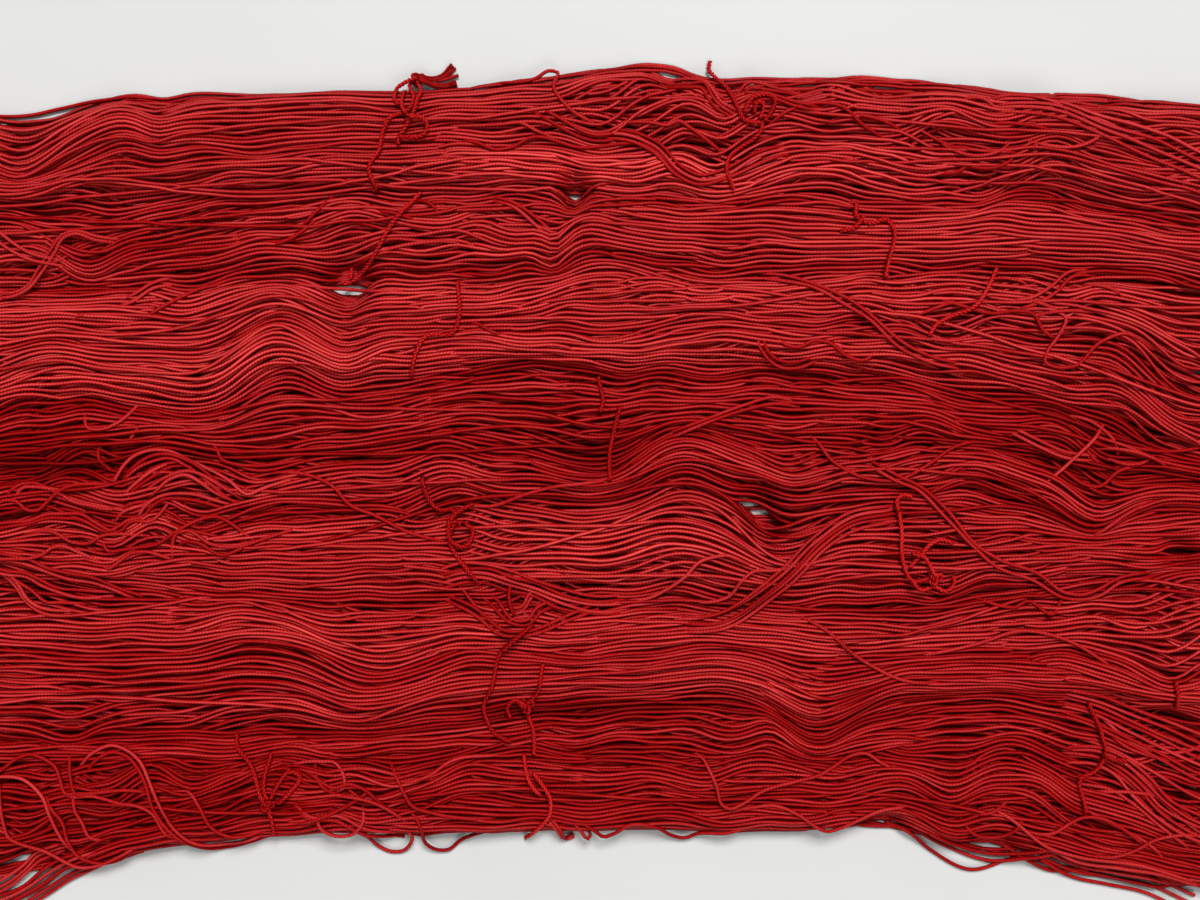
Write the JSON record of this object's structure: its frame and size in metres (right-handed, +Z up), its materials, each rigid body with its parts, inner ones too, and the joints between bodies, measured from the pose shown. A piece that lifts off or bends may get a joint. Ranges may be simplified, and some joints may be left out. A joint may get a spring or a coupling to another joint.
{
  "type": "skein of yarn",
  "caption": "Opened skein of plied sock yarn lying flat, its long strands parted by short knotted ties into waving lobes, with rounded loop ends.",
  "frame": {"origin": "on the flat underside, halfway along the skein and near the middle of its width", "axes": "+X along the strands, +Y across them towards the far edge, +Z up off the surface it lies on"},
  "size_m": [0.68, 0.2568, 0.0165],
  "materials": {
    "yarn": "smooth plied wool, dyed in slightly varying reds",
    "tie": "the same yarn, more tightly twisted"
  },
  "bodies": {
    "root": {"skein": "yarn", "tie_far_left": "tie", "tie_second_left": "tie", "tie_far_middle": "tie", "tie_second_right": "tie", "tie_third_left": "tie", "tie_third_right": "tie", "tie_centre": "tie", "tie_fifth_left": "tie", "tie_fifth_right": "tie", "tie_sixth_left": "tie", "tie_sixth_middle": "tie", "tie_near_middle": "tie", "tie_near_left": "tie", "tie_near_right": "tie", "tie_sixth_right": "tie"}
  },
  "joints": []
}
